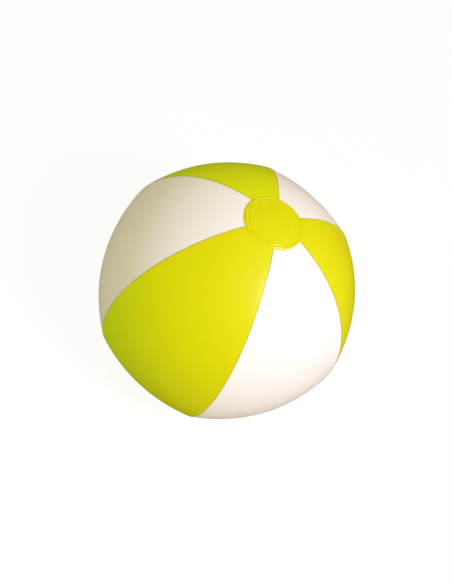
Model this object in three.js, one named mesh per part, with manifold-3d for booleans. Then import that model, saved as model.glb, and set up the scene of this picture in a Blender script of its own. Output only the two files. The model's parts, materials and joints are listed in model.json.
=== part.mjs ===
// Inflatable beach ball: welded film panels, two end patches and a push-in inflation valve.
// Millimetres, +Z up along the polar axis, origin at the ball's centre, valve pushed in and plugged.
import * as THREE from "three";
import { mergeVertices } from "three/addons/utils/BufferGeometryUtils.js";
import Module from "manifold-3d";

// Ball
const BALL_DIAMETER = 260; // across the middles of opposite panels, at the equator
const BALL_HEIGHT = 255.6; // from pole to pole, before the floor flattens the lower end
const PROFILE_FULLNESS = 2.06; // power of the superellipse from pole to pole, where 2 is an ellipse
const SEAM_RISE = 4.3; // how far a seam stands out past the middle of a panel, at the equator
const FLOOR_SPOT_DIAMETER = 36; // flat spot that the ball's own weight presses into its lower end

// Film
const FILM_THICKNESS = 0.25;
const LAYER_GAP = 0.3; // between one layer of film and the next
const SEAM_LAP = 5; // width of a white panel's edge under its yellow neighbour

// End patches
const PATCH_DIAMETER = 60.2;
const PATCH_LAP = 10; // width of a patch over the panels' tips
const TOP_PATCH_SHIFT = 4.4; // distance of the top patch's centre from the pole
const TOP_PATCH_SHIFT_AZIMUTH = -106; // degrees
const WELD_RING_INSET = 2.8; // from the patch's rim to the welded ring
const WELD_RING_WIDTH = 2.4;
const WELD_RING_RISE = 0.35;

// Valve
const VALVE_POLAR_ANGLE = 120; // degrees from the upper pole
const VALVE_GAP = 0.3; // between neighbouring pieces of the valve
const FLANGE_DIAMETER = 34;
const FLANGE_THICKNESS = 0.8;
const HOLE_MARGIN = 0.8; // how far the hole in the panel stays outside the flange's bore
const SLEEVE_MOUTH_DIAMETER = 18;
const SLEEVE_WALL = 0.8;
const STEM_LENGTH = 12;
const STEM_SINK = 0.4; // depth of the stem's mouth below the panel
const STEM_DIAMETER = 9.5;
const STEM_BORE = 6.5;
const STEM_RIM_DIAMETER = 11.5;
const STEM_RIM_HEIGHT = 1.6;
const STEM_FOOT_DIAMETER = 12.6;
const STEM_FOOT_HEIGHT = 1.2;
const PLUG_HEAD_HEIGHT = 2;
const PLUG_PIN_LENGTH = 8;
const PLUG_PIN_TAPER = 0.4; // loss of diameter from the head to the tip
const PLUG_EDGE = 0.5; // chamfer on the head and on the pin's tip
const PULL_EAR_LENGTH = 2.6;
const PULL_EAR_WIDTH = 4.5;
const PULL_EAR_THICKNESS = 1.2;
const STRAP_WIDTH = 4;
const STRAP_THICKNESS = 0.8;
const STRAP_REACH = 4.2; // how far the folded strap stands out past the rim
const STRAP_RISE = 3; // how far the folded strap stands up past the plug's head
const FLAP_DIAMETER = 9;
const FLAP_THICKNESS = 0.5;
const FLAP_HINGE_WIDTH = 4;

// Facets
const PANEL_ROWS = 26;
const PANEL_COLUMNS = 6; // between the lines where the laps end
const PATCH_SECTORS = 36;
const ROUND_SIDES = 28;
const STRAP_STEPS = 18;

// Finishes
const YELLOW = { color: 0xe6dc08, roughness: 0.34, metalness: 0 };
const WHITE = { color: 0xf4f0e8, roughness: 0.36, metalness: 0 };
const VALVE_VINYL = { color: 0xeceae2, roughness: 0.3, metalness: 0 };
const FLAP_FILM = { color: 0xdfe3e0, roughness: 0.2, metalness: 0 };

// Panels by the azimuth of their middles, one after the other round the polar axis
const FIRST_PANEL_AZIMUTH = -90; // degrees
const PANELS = [
  { name: "yellow_panel_front", yellow: true },
  { name: "white_panel_right", yellow: false },
  { name: "yellow_panel_right", yellow: true },
  { name: "white_panel_back", yellow: false },
  { name: "yellow_panel_back", yellow: true, valve: true },
  { name: "white_panel_left", yellow: false },
];

const wasm = await Module();
wasm.setup();

const radius = BALL_DIAMETER / 2;
const halfHeight = BALL_HEIGHT / 2;
const patchRadius = PATCH_DIAMETER / 2;
const tipRadius = patchRadius - PATCH_LAP;
const panelAngle = (2 * Math.PI) / PANELS.length;
const firstAzimuth = THREE.MathUtils.degToRad(FIRST_PANEL_AZIMUTH);
// White film lies lowest, yellow film over its edges, and the patches over both.
const yellowLift = FILM_THICKNESS + LAYER_GAP;
const patchLift = 2 * yellowLift;

// How much further out the skin lies at an azimuth than on the middle of a panel
function seamFactor(azimuth) {
  const turns = (azimuth - firstAzimuth) / panelAngle;
  const offMiddle = (turns - Math.round(turns)) * panelAngle;
  const rise = (1 / Math.cos(offMiddle) - 1) / (1 / Math.cos(panelAngle / 2) - 1);
  return 1 + (SEAM_RISE / radius) * rise;
}

// Height of the skin over a distance from the polar axis
function profileHeight(distance) {
  const share = (distance / radius) ** PROFILE_FULLNESS;
  return halfHeight * (1 - share) ** (1 / PROFILE_FULLNESS);
}

// Point of the skin in a direction from the centre, raised along the skin's normal
function roundPoint(direction, lift) {
  const azimuth = Math.atan2(direction.y, direction.x);
  const widest = radius * seamFactor(azimuth);
  const across = Math.hypot(direction.x, direction.y) / widest;
  const up = direction.z / halfHeight;
  const size = across ** PROFILE_FULLNESS + Math.abs(up) ** PROFILE_FULLNESS;
  const scale = size ** (-1 / PROFILE_FULLNESS);
  const outward = (across * scale) ** (PROFILE_FULLNESS - 1) / widest;
  const upward = (Math.sign(up) * Math.abs(up * scale) ** (PROFILE_FULLNESS - 1)) / halfHeight;
  const normal = new THREE.Vector3(outward * Math.cos(azimuth), outward * Math.sin(azimuth), upward);
  return direction.clone().multiplyScalar(scale).addScaledVector(normal.normalize(), lift);
}

const spotRadius = FLOOR_SPOT_DIAMETER / 2;
const spotDirection = new THREE.Vector3(
  spotRadius * Math.cos(firstAzimuth),
  spotRadius * Math.sin(firstAzimuth),
  profileHeight(spotRadius),
);
const floorLevel = -roundPoint(spotDirection, patchLift).z;

// The same point with the floor pressing the lower end flat
function skinPoint(direction, lift) {
  const point = roundPoint(direction, lift);
  point.z = Math.max(point.z, floorLevel + patchLift - lift);
  return point;
}

function directionAt(polar, azimuth) {
  const across = Math.sin(polar);
  return new THREE.Vector3(across * Math.cos(azimuth), across * Math.sin(azimuth), Math.cos(polar));
}

// Closed solid between two skins that share one list of triangles, with walls along the open edges
function filmSolid(outer, inner, triangles) {
  const count = outer.length;
  const index = [];
  const openEdges = new Map();
  for (const [a, b, c] of triangles) {
    index.push(a, b, c, count + a, count + c, count + b);
    for (const [from, to] of [[a, b], [b, c], [c, a]]) {
      if (!openEdges.delete(`${to} ${from}`)) {
        openEdges.set(`${from} ${to}`, [from, to]);
      }
    }
  }
  for (const [from, to] of openEdges.values()) {
    index.push(from, count + from, to, to, count + from, count + to);
  }
  const geometry = new THREE.BufferGeometry().setFromPoints([...outer, ...inner]);
  return geometry.setIndex(index);
}

// Triangles of a grid whose rows follow one another, seen from the side where columns run to the right
function gridTriangles(rows, columns) {
  const triangles = [];
  for (let row = 0; row < rows; row++) {
    for (let column = 0; column < columns; column++) {
      const a = row * (columns + 1) + column;
      const b = a + columns + 1;
      triangles.push([a, b, b + 1], [a, b + 1, a + 1]);
    }
  }
  return triangles;
}

// Triangles between rings of points, numbered ring by ring from a first point
function ringTriangles(rings, sectors, first) {
  const triangles = [];
  for (let ring = 0; ring < rings - 1; ring++) {
    for (let sector = 0; sector < sectors; sector++) {
      const next = (sector + 1) % sectors;
      const a = first + ring * sectors + sector;
      const b = first + ring * sectors + next;
      triangles.push([a, a + sectors, b + sectors], [a, b + sectors, b]);
    }
  }
  return triangles;
}

// Closed solid of revolution about Z from a profile of [radius, height] points
function turned(profile) {
  const points = profile.map(([x, y]) => new THREE.Vector2(x, y));
  return new THREE.LatheGeometry(points, ROUND_SIDES).rotateX(Math.PI / 2);
}

function toSolid(geometry) {
  const bare = geometry.index ? geometry.toNonIndexed() : geometry.clone();
  bare.deleteAttribute("normal");
  bare.deleteAttribute("uv");
  const merged = mergeVertices(bare);
  const mesh = new wasm.Mesh({
    numProp: 3,
    vertProperties: merged.attributes.position.array,
    triVerts: new Uint32Array(merged.index.array),
  });
  return new wasm.Manifold(mesh);
}

function toGeometry(solid) {
  const mesh = solid.getMesh();
  const geometry = new THREE.BufferGeometry();
  geometry.setAttribute("position", new THREE.BufferAttribute(mesh.vertProperties, 3));
  geometry.setIndex(new THREE.BufferAttribute(mesh.triVerts, 1));
  return geometry;
}

function namedMesh(name, geometry, finish) {
  const mesh = new THREE.Mesh(geometry, new THREE.MeshStandardMaterial(finish));
  mesh.name = name;
  return mesh;
}

// Offsets from a panel's middle of its lines of points at one polar angle: its edges, the lines where
// its neighbours' laps or its own end, and the lines between
function panelOffsets(polar, yellow) {
  const seam = panelAngle / 2;
  const seamPoint = skinPoint(directionAt(polar, firstAzimuth + seam), 0);
  const lap = SEAM_LAP / Math.hypot(seamPoint.x, seamPoint.y);
  const inner = yellow ? seam - lap : seam;
  const outer = yellow ? seam : seam + lap;
  const offsets = [-outer];
  for (let column = 0; column <= PANEL_COLUMNS; column++) {
    offsets.push(inner * ((2 * column) / PANEL_COLUMNS - 1));
  }
  offsets.push(outer);
  return offsets;
}

function panelGeometry(azimuth, yellow) {
  const lift = yellow ? yellowLift : 0;
  const tipPolar = Math.atan2(tipRadius, profileHeight(tipRadius));
  const outer = [];
  const inner = [];
  for (let row = 0; row <= PANEL_ROWS; row++) {
    const polar = tipPolar + (Math.PI - 2 * tipPolar) * (row / PANEL_ROWS);
    for (const offset of panelOffsets(polar, yellow)) {
      const direction = directionAt(polar, azimuth + offset);
      outer.push(skinPoint(direction, lift));
      inner.push(skinPoint(direction, lift - FILM_THICKNESS));
    }
  }
  return filmSolid(outer, inner, gridTriangles(PANEL_ROWS, PANEL_COLUMNS + 2));
}

// Disc over the panels' tips at the upper pole, with its welded ring standing up near the rim
function patchGeometry(shift, shiftAzimuth, pressed) {
  const ringOuter = patchRadius - WELD_RING_INSET;
  const ringInner = ringOuter - WELD_RING_WIDTH;
  const rings = [
    [spotRadius / 2, 0],
    [spotRadius, 0],
    [ringInner, 0],
    [(ringInner + ringOuter) / 2, WELD_RING_RISE],
    [ringOuter, 0],
    [patchRadius, 0],
  ];
  const centre = new THREE.Vector2(shift, 0).rotateAround(new THREE.Vector2(), shiftAzimuth);
  const places = [[centre.x, centre.y, 0]];
  for (const [distance, rise] of rings) {
    for (let sector = 0; sector < PATCH_SECTORS; sector++) {
      const turn = (2 * Math.PI * sector) / PATCH_SECTORS;
      places.push([centre.x + distance * Math.cos(turn), centre.y + distance * Math.sin(turn), rise]);
    }
  }
  const place = ([x, y, rise], lift) => {
    const point = roundPoint(new THREE.Vector3(x, y, profileHeight(Math.hypot(x, y))), lift + rise);
    const limit = -floorLevel - patchLift + lift;
    point.z = pressed ? Math.min(point.z, limit) : point.z;
    return point;
  };
  const outer = places.map((at) => place(at, patchLift));
  const inner = places.map((at) => place(at, patchLift - FILM_THICKNESS));
  const triangles = ringTriangles(rings.length, PATCH_SECTORS, 1);
  for (let sector = 0; sector < PATCH_SECTORS; sector++) {
    triangles.push([0, 1 + sector, 1 + ((sector + 1) % PATCH_SECTORS)]);
  }
  return filmSolid(outer, inner, triangles);
}

// Levels along the valve's axis, from the panel's outer face
const stemTop = -STEM_SINK;
const stemBottom = stemTop - STEM_LENGTH;
const rimBottom = stemTop - STEM_RIM_HEIGHT;
const footTop = stemBottom + STEM_FOOT_HEIGHT;
const headBottom = stemTop + VALVE_GAP;
const headTop = headBottom + PLUG_HEAD_HEIGHT;
const rimRadius = STEM_RIM_DIAMETER / 2;
const flangeBore = SLEEVE_MOUTH_DIAMETER / 2 + VALVE_GAP;
// A flat facet of the panel cuts this far inside the round skin.
const rowLength = (Math.PI * radius) / PANEL_ROWS;
const columnLength = (panelAngle * radius) / PANEL_COLUMNS;
const facetDip = (rowLength ** 2 + columnLength ** 2) / (8 * radius);
const flangeDepth = FILM_THICKNESS + facetDip + VALVE_GAP;

// Ring under the panel, following the panel's curve
function flangeGeometry(valve) {
  const outer = [];
  const inner = [];
  for (const distance of [flangeBore, (flangeBore + FLANGE_DIAMETER / 2) / 2, FLANGE_DIAMETER / 2]) {
    for (let sector = 0; sector < ROUND_SIDES; sector++) {
      const turn = (2 * Math.PI * sector) / ROUND_SIDES;
      const across = distance * Math.cos(turn);
      const along = distance * Math.sin(turn);
      const direction = valve.localToWorld(new THREE.Vector3(across, along, -flangeDepth));
      outer.push(valve.worldToLocal(skinPoint(direction, yellowLift - flangeDepth)));
      inner.push(valve.worldToLocal(skinPoint(direction, yellowLift - flangeDepth - FLANGE_THICKNESS)));
    }
  }
  return filmSolid(outer, inner, ringTriangles(3, ROUND_SIDES, 0));
}

// Soft cone from the flange down to the stem's foot, which turns inside out when the valve is pulled out
function sleeveGeometry() {
  const mouth = SLEEVE_MOUTH_DIAMETER / 2;
  const foot = STEM_FOOT_DIAMETER / 2;
  const sag = mouth ** 2 / (2 * radius);
  const top = -flangeDepth - sag;
  const shoulder = top - FLANGE_THICKNESS;
  const bottom = footTop + VALVE_GAP;
  return turned([
    [foot - SLEEVE_WALL, bottom],
    [foot, bottom],
    [mouth, shoulder],
    [mouth, top],
    [mouth - SLEEVE_WALL, top],
    [mouth - SLEEVE_WALL, shoulder],
    [foot - SLEEVE_WALL, bottom],
  ]);
}

function stemGeometry() {
  const bore = STEM_BORE / 2;
  const wall = STEM_DIAMETER / 2;
  const foot = STEM_FOOT_DIAMETER / 2;
  return turned([
    [bore, stemBottom],
    [foot, stemBottom],
    [foot, footTop],
    [wall, footTop],
    [wall, rimBottom],
    [rimRadius, rimBottom],
    [rimRadius, stemTop],
    [bore, stemTop],
    [bore, stemBottom],
  ]);
}

function plugGeometry() {
  const pinTop = STEM_BORE / 2 - VALVE_GAP;
  const pinEnd = pinTop - PLUG_PIN_TAPER / 2;
  const pinBottom = headBottom - PLUG_PIN_LENGTH;
  const body = turned([
    [0, pinBottom],
    [pinEnd - PLUG_EDGE, pinBottom],
    [pinEnd, pinBottom + PLUG_EDGE],
    [pinTop, headBottom],
    [rimRadius, headBottom],
    [rimRadius, headTop - PLUG_EDGE],
    [rimRadius - PLUG_EDGE, headTop],
    [0, headTop],
  ]);
  const half = PULL_EAR_WIDTH / 2;
  const end = rimRadius + PULL_EAR_LENGTH;
  const outline = new THREE.Shape();
  outline.moveTo(0, -half);
  outline.lineTo(end - half, -half);
  outline.absarc(end - half, 0, half, -Math.PI / 2, Math.PI / 2);
  outline.lineTo(0, half);
  outline.closePath();
  const ear = new THREE.ExtrudeGeometry(outline, {
    depth: PULL_EAR_THICKNESS,
    bevelEnabled: false,
    curveSegments: ROUND_SIDES / 2,
  });
  ear.translate(0, 0, (headBottom + headTop - PULL_EAR_THICKNESS) / 2);
  return toGeometry(toSolid(body).add(toSolid(ear)));
}

// Strap folded into a loop from the stem's rim up to the plug's head, on the side away from the pull ear
function strapGeometry() {
  const near = rimRadius + VALVE_GAP + STRAP_THICKNESS / 2;
  const far = rimRadius + STRAP_REACH;
  const rimMiddle = (rimBottom + stemTop) / 2;
  const headMiddle = (headBottom + headTop) / 2;
  const fold = [
    [near, rimMiddle],
    [(near + far) / 2, headMiddle - STRAP_THICKNESS],
    [far, headTop + STRAP_RISE / 2],
    [(near + far) / 2, headTop + STRAP_RISE],
    [near, headMiddle],
  ];
  const path = new THREE.CatmullRomCurve3(fold.map(([out, level]) => new THREE.Vector3(-out, 0, level)));
  const section = new THREE.Shape();
  section.moveTo(-STRAP_WIDTH / 2, -STRAP_THICKNESS / 2);
  section.lineTo(STRAP_WIDTH / 2, -STRAP_THICKNESS / 2);
  section.lineTo(STRAP_WIDTH / 2, STRAP_THICKNESS / 2);
  section.lineTo(-STRAP_WIDTH / 2, STRAP_THICKNESS / 2);
  section.closePath();
  return new THREE.ExtrudeGeometry(section, { steps: STRAP_STEPS, extrudePath: path });
}

// Round check flap under the stem's bore, with its hinge strip along the stem's foot
function flapGeometry() {
  const edge = STEM_FOOT_DIAMETER / 2;
  const half = FLAP_HINGE_WIDTH / 2;
  const round = FLAP_DIAMETER / 2;
  const start = Math.asin(half / round);
  const outline = new THREE.Shape();
  outline.moveTo(half, -edge);
  outline.lineTo(half, -round * Math.cos(start));
  outline.absarc(0, 0, round, start - Math.PI / 2, 1.5 * Math.PI - start);
  outline.lineTo(-half, -edge);
  outline.closePath();
  const flap = new THREE.ExtrudeGeometry(outline, {
    depth: FLAP_THICKNESS,
    bevelEnabled: false,
    curveSegments: ROUND_SIDES,
  });
  return flap.translate(0, 0, stemBottom - VALVE_GAP - FLAP_THICKNESS);
}

// Group at the valve's place on a panel, its own Z along the valve's axis, away from the ball
function valveGroup(azimuth) {
  const polar = THREE.MathUtils.degToRad(VALVE_POLAR_ANGLE);
  const direction = directionAt(polar, azimuth);
  const place = skinPoint(direction, yellowLift);
  const axis = skinPoint(direction, yellowLift + 1).sub(place);
  const across = new THREE.Vector3(-Math.sin(azimuth), Math.cos(azimuth), 0);
  const upward = new THREE.Vector3().crossVectors(axis, across);
  const valve = new THREE.Group();
  valve.applyMatrix4(new THREE.Matrix4().makeBasis(across, upward, axis));
  valve.position.copy(place);
  valve.updateMatrixWorld(true);
  return valve;
}

function addValve(valve) {
  valve.add(namedMesh("valve_flange", flangeGeometry(valve), VALVE_VINYL));
  valve.add(namedMesh("valve_sleeve", sleeveGeometry(), VALVE_VINYL));
  valve.add(namedMesh("valve_stem", stemGeometry(), VALVE_VINYL));
  valve.add(namedMesh("valve_plug", plugGeometry(), VALVE_VINYL));
  valve.add(namedMesh("valve_strap", strapGeometry(), VALVE_VINYL));
  valve.add(namedMesh("valve_flap", flapGeometry(), FLAP_FILM));
}

function withValveHole(panel, valve) {
  const hole = new THREE.CylinderGeometry(
    flangeBore + HOLE_MARGIN,
    flangeBore + HOLE_MARGIN,
    STEM_LENGTH,
    ROUND_SIDES,
  );
  hole.rotateX(Math.PI / 2).applyMatrix4(valve.matrixWorld);
  return toGeometry(toSolid(panel).subtract(toSolid(hole)));
}

const ball = new THREE.Group();
PANELS.forEach((panel, turn) => {
  const azimuth = firstAzimuth + turn * panelAngle;
  let geometry = panelGeometry(azimuth, panel.yellow);
  if (panel.valve) {
    const valve = valveGroup(azimuth);
    addValve(valve);
    ball.add(valve);
    geometry = withValveHole(geometry, valve);
  }
  ball.add(namedMesh(panel.name, geometry, panel.yellow ? YELLOW : WHITE));
});

const topShiftAzimuth = THREE.MathUtils.degToRad(TOP_PATCH_SHIFT_AZIMUTH);
ball.add(namedMesh("end_patch_top", patchGeometry(TOP_PATCH_SHIFT, topShiftAzimuth, false), YELLOW));
const bottomPatch = namedMesh("end_patch_bottom", patchGeometry(0, 0, true), YELLOW);
bottomPatch.rotation.x = Math.PI;
ball.add(bottomPatch);

export default ball;
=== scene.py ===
"""Looks of an inflatable beach ball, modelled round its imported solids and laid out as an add-on."""

import json
import math
from typing import NamedTuple

import bpy
from bpy.props import FloatProperty, FloatVectorProperty, PointerProperty
from mathutils import Matrix, Quaternion, Vector, noise

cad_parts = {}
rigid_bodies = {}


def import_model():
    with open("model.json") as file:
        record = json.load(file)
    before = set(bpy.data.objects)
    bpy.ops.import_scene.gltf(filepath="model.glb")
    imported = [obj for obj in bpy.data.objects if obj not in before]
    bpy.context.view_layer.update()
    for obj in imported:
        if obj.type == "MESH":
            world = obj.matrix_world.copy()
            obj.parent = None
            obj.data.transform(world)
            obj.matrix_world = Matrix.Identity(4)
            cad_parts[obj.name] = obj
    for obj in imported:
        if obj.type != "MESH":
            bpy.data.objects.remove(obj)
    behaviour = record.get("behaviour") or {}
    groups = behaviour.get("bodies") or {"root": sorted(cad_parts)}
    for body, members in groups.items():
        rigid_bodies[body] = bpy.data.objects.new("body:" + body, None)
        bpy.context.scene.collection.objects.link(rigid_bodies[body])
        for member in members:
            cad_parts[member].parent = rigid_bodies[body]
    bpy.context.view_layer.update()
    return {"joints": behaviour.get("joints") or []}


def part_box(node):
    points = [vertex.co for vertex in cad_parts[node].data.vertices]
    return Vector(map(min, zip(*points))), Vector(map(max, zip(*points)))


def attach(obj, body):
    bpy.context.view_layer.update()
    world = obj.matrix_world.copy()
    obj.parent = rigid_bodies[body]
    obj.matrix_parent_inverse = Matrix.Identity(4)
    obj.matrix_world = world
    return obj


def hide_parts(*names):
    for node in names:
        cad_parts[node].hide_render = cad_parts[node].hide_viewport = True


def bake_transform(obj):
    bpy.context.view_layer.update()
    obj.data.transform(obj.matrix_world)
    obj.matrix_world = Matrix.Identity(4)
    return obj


bl_info = {
    "name": "Beach ball",
    "version": (1, 0, 0),
    "blender": (4, 5, 0),
    "location": "3D View > Sidebar > Beach ball",
    "description": "Models a beach ball of welded film panels with its valve, and a studio round it",
    "category": "Object",
}

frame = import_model()
JOINTS = {joint["name"]: joint for joint in frame["joints"]}

# Panels, one after the other round the polar axis
PANEL_NAMES = (
    "yellow_panel_front",
    "white_panel_right",
    "yellow_panel_right",
    "white_panel_back",
    "yellow_panel_back",
    "white_panel_left",
)
PANEL_ANGLE = math.tau / len(PANEL_NAMES)
FIRST_PANEL_AZIMUTH = math.radians(-90)
VALVE_PANEL = "yellow_panel_back"

# How finely the pieces are modelled
PANEL_ROWS = 150
BORDER_COLUMNS = 16
MIDDLE_COLUMNS = 24
BORDER_WIDTH = 0.008
BORDER_CROWDING = 1.6
PATCH_SIDES = 160
PATCH_MIDDLE_RINGS = 8
BEAD_LINES = 10
VALVE_SIDES = 72
VALVE_CUTS = 3
STRAP_STEPS = 40
STRAP_COLUMNS = 6
FLAP_STRIP_ROWS = 4
FLANGE_RINGS = 5
SLEEVE_STEPS = 10
COVE_SIDES = 96
COVE_STEPS = 12
ROUNDING_STEPS = 3
SMOOTH_ANGLE = math.radians(40)
MERGE_DISTANCE = 1e-6
SLIVER_WIDTH = 1e-5
QUAD_SIDES = 4

# Half of a flat grid one metre wide, so that a point's place on it is a share of its width
HALF_GRID = 0.5

# Layers of film, from the lowest
WHITE_LAYER = 0
YELLOW_LAYER = 1
PATCH_LAYER = 2

# Names that pieces, their points and their materials share
YELLOW_FILM = "yellow_film"
# Mask near a film's cut edge: it carries painted shade along the edge and also makes the edge rougher
CUT_EDGE_PAINTED_SHADE = "cut_edge_painted_shade"
PRESSED_WELD = "pressed_weld"

# Sockets of a Mix node that mixes colours
MIX_FACTOR = 0
MIX_FIRST = 6
MIX_SECOND = 7
MIX_RESULT = 2

VINYL_IOR = 1.53

# Millimetres, as Blender's cameras measure their sensor and lens
SENSOR_WIDTH = 36


def length(name, description, default):
    """Property that holds a length in metres."""
    return FloatProperty(
        name=name, description=description, default=default, min=0, precision=5, unit="LENGTH"
    )


def angle(name, description, degrees):
    """Property that holds an angle."""
    return FloatProperty(
        name=name, description=description, default=math.radians(degrees), unit="ROTATION"
    )


def colour(name, description, default):
    """Property that holds a colour."""
    return FloatVectorProperty(
        name=name, description=description, default=default, size=3, min=0, max=1, subtype="COLOR"
    )


def share(name, description, default):
    """Property that holds a number from 0 to 1."""
    return FloatProperty(
        name=name, description=description, default=default, min=0, max=1, subtype="FACTOR"
    )


def power(name, description, default):
    """Property that holds a light's power in watts."""
    return FloatProperty(name=name, description=description, default=default, min=0, unit="POWER")


class BallSizes(bpy.types.PropertyGroup):
    """Sizes of the blown-up ball"""

    diameter: length("Diameter", "Across the middles of opposite panels, at the equator", 0.26)
    height: length("Height", "From pole to pole, before the floor flattens the lower end", 0.2556)
    fullness: FloatProperty(
        name="Fullness",
        description="Power of the superellipse from pole to pole, where 2 is an ellipse",
        default=2.06,
        min=1,
    )
    seam_rise: length("Seam rise", "How far a seam stands out past a panel's middle", 0.0043)
    ripple: length("Ripple", "Height of the slow waves in the taut film", 0.0001)
    ripple_spacing: length("Ripple spacing", "Distance between the slow waves", 0.045)


class FilmSizes(bpy.types.PropertyGroup):
    """Sizes of the film and its welded seams"""

    thickness: length("Thickness", "Thickness of the film", 0.0003)
    layer_gap: length("Layer gap", "Distance between one layer of film and the next", 0.00002)
    lap: length("Lap", "Width of a white panel's edge under its yellow neighbour", 0.005)
    weld_width: length("Weld width", "From a yellow panel's cut edge to the inside of its weld", 0.0042)
    weld_depth: length("Weld depth", "How far the weld is pressed in", 0.0001)
    bead_width: length("Bead width", "Width of the bead along the inside of the weld", 0.0012)
    bead_rise: length("Bead rise", "Height of the bead", 0.00009)
    # The darkening of the cut edge is painted shade
    edge_width: length("Edge width", "Width of the rounded and darkened cut edge", 0.0009)
    edge_drop: length("Edge drop", "How far the cut edge is pressed down", 0.00014)


class PatchSizes(bpy.types.PropertyGroup):
    """Sizes of the end patches"""

    diameter: length("Diameter", "Across an end patch", 0.0602)
    lap: length("Lap", "Width of a patch over the panels' tips", 0.01)
    shift: length("Shift", "Distance of the top patch's middle from the pole", 0.0044)
    shift_azimuth: angle("Shift azimuth", "Direction of the top patch's shift", -106)
    weld_inset: length("Weld inset", "From a patch's rim to the outside of its ring-shaped weld", 0.0021)
    weld_width: length("Weld width", "Width of the weld", 0.003)
    weld_depth: length("Weld depth", "How far the weld is pressed in", 0.00012)
    bead_width: length("Bead width", "Width of the beads along both sides of the weld", 0.001)
    bead_rise: length("Bead rise", "Height of the beads", 0.00027)
    rim_drop: length("Rim drop", "How far the rim is pressed down", 0.00025)
    # Strength of the painted shade along a patch's cut rim
    rim_painted_shade: share("Rim shade", "How dark the cut rim is, where 1 is as dark as a panel's edge", 0.4)


class ValveSizes(bpy.types.PropertyGroup):
    """Sizes of the inflation valve"""

    gap: length("Gap", "Distance between neighbouring pieces", 0.0003)
    flange_diameter: length("Flange", "Across the flange under the panel", 0.034)
    flange_thickness: length("Flange thickness", "Thickness of the flange", 0.0008)
    flange_depth: length("Flange depth", "From the panel's outer face to the flange", 0.0013)
    hole_margin: length("Hole margin", "How far the panel's hole stays outside the flange's bore", 0.0008)
    weld_ring: length("Weld ring", "Across the welded ring round the hole", 0.028)
    weld_ring_width: length("Weld ring width", "Width of that ring", 0.003)
    weld_ring_rise: length("Weld ring rise", "Height of that ring", 0.00025)
    mouth_diameter: length("Sleeve mouth", "Across the sleeve's mouth", 0.018)
    sleeve_wall: length("Sleeve wall", "Thickness of the sleeve", 0.0008)
    stem_length: length("Stem", "Length of the stem", 0.012)
    stem_sink: length("Stem sink", "Depth of the stem's mouth below the panel", 0.0004)
    stem_diameter: length("Stem diameter", "Across the stem", 0.0095)
    stem_bore: length("Stem bore", "Across the stem's bore", 0.0065)
    rim_diameter: length("Rim", "Across the stem's rim and the plug's head", 0.0115)
    rim_height: length("Rim height", "Height of the stem's rim", 0.0016)
    foot_diameter: length("Foot", "Across the stem's foot", 0.0126)
    foot_height: length("Foot height", "Height of the stem's foot", 0.0012)
    head_height: length("Plug head", "Height of the plug's head", 0.002)
    head_dish: length("Head dish", "Depth of the hollow in the plug's head", 0.00035)
    pin_length: length("Plug pin", "Length of the plug's pin", 0.008)
    pin_taper: length("Pin taper", "Loss of the pin's diameter from head to tip", 0.0004)
    ear_length: length("Pull ear", "How far the pull ear stands out past the head", 0.0026)
    ear_width: length("Ear width", "Width of the pull ear", 0.0045)
    ear_thickness: length("Ear thickness", "Thickness of the pull ear", 0.0012)
    strap_width: length("Strap", "Width of the strap", 0.004)
    strap_thickness: length("Strap thickness", "Thickness of the strap", 0.0008)
    strap_reach: length("Strap reach", "How far the folded strap stands out past the rim", 0.0042)
    strap_rise: length("Strap rise", "How far the folded strap stands up past the head", 0.003)
    flap_diameter: length("Flap", "Across the check flap", 0.009)
    flap_thickness: length("Flap thickness", "Thickness of the check flap", 0.0005)
    flap_hinge: length("Flap hinge", "Width of the check flap's hinge strip", 0.004)
    rounding: length("Rounding", "Radius of the moulded edges", 0.0002)


class Finishes(bpy.types.PropertyGroup):
    """Colours and surfaces of the film and the valve"""

    yellow: colour("Yellow", "Yellow film", (0.735, 0.722, 0.0))
    white: colour("White", "White film", (0.95, 0.92, 0.9))
    # Painted shade: darker colour mixed in along the yellow film's cut edge, for the shade at the seam's step
    edge: colour("Cut edge", "Cut edge of the yellow film", (0.38, 0.36, 0.0))
    valve: colour("Valve", "Soft vinyl of the valve", (0.86, 0.84, 0.78))
    flap: colour("Flap", "Clear film of the check flap", (0.78, 0.81, 0.78))
    film_roughness: share("Film roughness", "Roughness of the satin film", 0.34)
    film_shine: share("Film shine", "How much the film reflects", 0.12)
    weld_polish: share("Weld polish", "How much smoother the pressed weld of a patch is", 0.09)
    edge_dullness: share("Edge dullness", "How much rougher the cut edge is", 0.5)
    valve_roughness: share("Valve roughness", "Roughness of the valve's vinyl", 0.34)
    valve_see_through: share("Valve see-through", "How much light passes through the valve's vinyl", 0.25)
    flap_roughness: share("Flap roughness", "Roughness of the check flap", 0.2)
    flap_see_through: share("Flap see-through", "How much light passes through the check flap", 0.5)


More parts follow.
